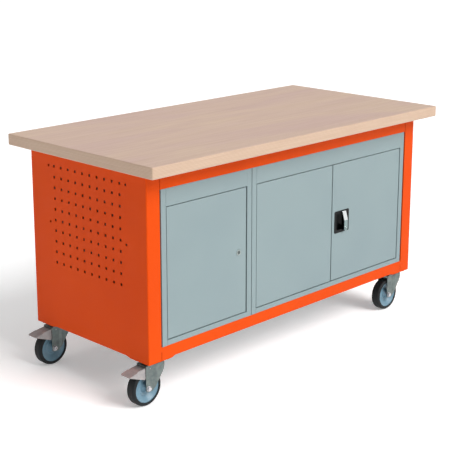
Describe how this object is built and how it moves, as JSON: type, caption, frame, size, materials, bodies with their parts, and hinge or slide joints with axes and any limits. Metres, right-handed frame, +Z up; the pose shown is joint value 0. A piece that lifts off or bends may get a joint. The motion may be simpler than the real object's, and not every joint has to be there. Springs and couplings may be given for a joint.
{
  "type": "mobile workbench",
  "caption": "Mobile workbench: wooden top on a perforated steel frame with two lockable hinged-door cabinets, on swivel casters with brakes.",
  "frame": {"origin": "on the floor, under the middle of the bench's overall bounds with both brake pedals to the left", "axes": "+Z up, +X along the bench to the right as seen from the front, front faces -Y"},
  "size_m": [1.522, 0.75, 0.835],
  "materials": {
    "worktop": "lacquered multi-layer beech board, thin layers on its edges",
    "frame_paint": "bright orange powder coat, satin",
    "cabinet_paint": "light blue-grey powder coat, satin",
    "zinc": "zinc-plated pressed steel",
    "chrome": "bright chrome plate",
    "black_plastic": "black moulded plastic, fine texture",
    "wheel_centre": "grey-blue moulded polyamide",
    "tyre": "dark grey solid rubber tread"
  },
  "bodies": {
    "frame": {"worktop": "worktop", "left_side_frame": "frame_paint", "right_side_frame": "frame_paint", "front_top_rail": "frame_paint", "rear_top_rail": "frame_paint", "front_bottom_rail": "frame_paint", "rear_bottom_rail": "frame_paint", "caster_mounting_plates": "frame_paint", "frame_screws": "zinc", "left_cabinet_left_side": "cabinet_paint", "left_cabinet_right_side": "cabinet_paint", "left_cabinet_back": "cabinet_paint", "left_cabinet_floor": "cabinet_paint", "left_cabinet_roof": "cabinet_paint", "left_cabinet_fascia": "cabinet_paint", "left_cabinet_shelf": "cabinet_paint", "right_cabinet_left_side": "cabinet_paint", "right_cabinet_right_side": "cabinet_paint", "right_cabinet_back": "cabinet_paint", "right_cabinet_floor": "cabinet_paint", "right_cabinet_roof": "cabinet_paint", "right_cabinet_fascia": "cabinet_paint", "right_cabinet_shelf": "cabinet_paint", "shelf_clips": "zinc", "hinge_pins": "zinc", "caster_top_plates": "zinc", "caster_kingpins": "zinc", "caster_bolts": "zinc"},
    "left_door": {"left_door": "cabinet_paint", "left_lock_barrel": "chrome"},
    "left_lock": {"left_lock_plug": "chrome", "left_lock_cam": "zinc"},
    "centre_door": {"centre_door": "cabinet_paint"},
    "right_door": {"right_door": "cabinet_paint", "handle_dish": "black_plastic", "handle_gearbox": "black_plastic", "rod_guides": "black_plastic"},
    "handle": {"handle_lever": "chrome", "handle_lock_plug": "chrome"},
    "upper_rod": {"upper_lock_rod": "zinc"},
    "lower_rod": {"lower_lock_rod": "zinc"},
    "front_left_caster": {"front_left_fork": "zinc", "front_left_axle": "zinc"},
    "front_left_wheel": {"front_left_hub": "wheel_centre", "front_left_tyre": "tyre"},
    "front_left_brake": {"front_left_brake_pedal": "zinc"},
    "rear_left_caster": {"rear_left_fork": "zinc", "rear_left_axle": "zinc"},
    "rear_left_wheel": {"rear_left_hub": "wheel_centre", "rear_left_tyre": "tyre"},
    "rear_left_brake": {"rear_left_brake_pedal": "zinc"},
    "front_right_caster": {"front_right_fork": "zinc", "front_right_axle": "zinc"},
    "front_right_wheel": {"front_right_hub": "wheel_centre", "front_right_tyre": "tyre"},
    "rear_right_caster": {"rear_right_fork": "zinc", "rear_right_axle": "zinc"},
    "rear_right_wheel": {"rear_right_hub": "wheel_centre", "rear_right_tyre": "tyre"}
  },
  "joints": [
    {"name": "left_door_hinge", "type": "hinge", "parent": "frame", "child": "left_door", "pos_m": [-0.607, -0.293, 0.4475], "axis": [0, 0, -1], "range_deg": [0, 100]},
    {"name": "centre_door_hinge", "type": "hinge", "parent": "frame", "child": "centre_door", "pos_m": [-0.18275, -0.293, 0.4475], "axis": [0, 0, -1], "range_deg": [0, 100]},
    {"name": "right_door_hinge", "type": "hinge", "parent": "frame", "child": "right_door", "pos_m": [0.629, -0.293, 0.4475], "axis": [0, 0, 1], "range_deg": [0, 100]},
    {"name": "left_lock_turn", "type": "hinge", "parent": "left_door", "child": "left_lock", "pos_m": [-0.27875, -0.298, 0.447], "axis": [0, 1, 0], "range_deg": [0, 90]},
    {"name": "handle_turn", "type": "hinge", "parent": "right_door", "child": "handle", "pos_m": [0.28963, -0.298, 0.421], "axis": [0, 1, 0], "range_deg": [0, 90]},
    {"name": "upper_rod_slide", "type": "slide", "parent": "right_door", "child": "upper_rod", "axis": [0, 0, 1], "range_m": [0, 0.018]},
    {"name": "lower_rod_slide", "type": "slide", "parent": "right_door", "child": "lower_rod", "axis": [0, 0, -1], "range_m": [0, 0.018]},
    {"name": "front_left_swivel", "type": "hinge", "parent": "frame", "child": "front_left_caster", "pos_m": [-0.642, -0.252, 0.14], "axis": [0, 0, 1], "continuous": true},
    {"name": "front_left_roll", "type": "hinge", "parent": "front_left_caster", "child": "front_left_wheel", "pos_m": [-0.6805, -0.252, 0.0625], "axis": [0, 1, 0], "continuous": true},
    {"name": "front_left_brake_press", "type": "hinge", "parent": "front_left_caster", "child": "front_left_brake", "pos_m": [-0.672, -0.252, 0.131], "axis": [0, -1, 0], "range_deg": [0, 12]},
    {"name": "rear_left_swivel", "type": "hinge", "parent": "frame", "child": "rear_left_caster", "pos_m": [-0.642, 0.252, 0.14], "axis": [0, 0, 1], "continuous": true},
    {"name": "rear_left_roll", "type": "hinge", "parent": "rear_left_caster", "child": "rear_left_wheel", "pos_m": [-0.6805, 0.252, 0.0625], "axis": [0, 1, 0], "continuous": true},
    {"name": "rear_left_brake_press", "type": "hinge", "parent": "rear_left_caster", "child": "rear_left_brake", "pos_m": [-0.672, 0.252, 0.131], "axis": [0, -1, 0], "range_deg": [0, 12]},
    {"name": "front_right_swivel", "type": "hinge", "parent": "frame", "child": "front_right_caster", "pos_m": [0.664, -0.252, 0.14], "axis": [0, 0, 1], "continuous": true},
    {"name": "front_right_roll", "type": "hinge", "parent": "front_right_caster", "child": "front_right_wheel", "pos_m": [0.6255, -0.252, 0.0625], "axis": [0, 1, 0], "continuous": true},
    {"name": "rear_right_swivel", "type": "hinge", "parent": "frame", "child": "rear_right_caster", "pos_m": [0.664, 0.252, 0.14], "axis": [0, 0, 1], "continuous": true},
    {"name": "rear_right_roll", "type": "hinge", "parent": "rear_right_caster", "child": "rear_right_wheel", "pos_m": [0.6255, 0.252, 0.0625], "axis": [0, 1, 0], "continuous": true}
  ],
  "couplings": [
    {"joint": "upper_rod_slide", "follows": "handle_turn", "m_per_rad": 0.011448},
    {"joint": "lower_rod_slide", "follows": "handle_turn", "m_per_rad": 0.011448}
  ]
}
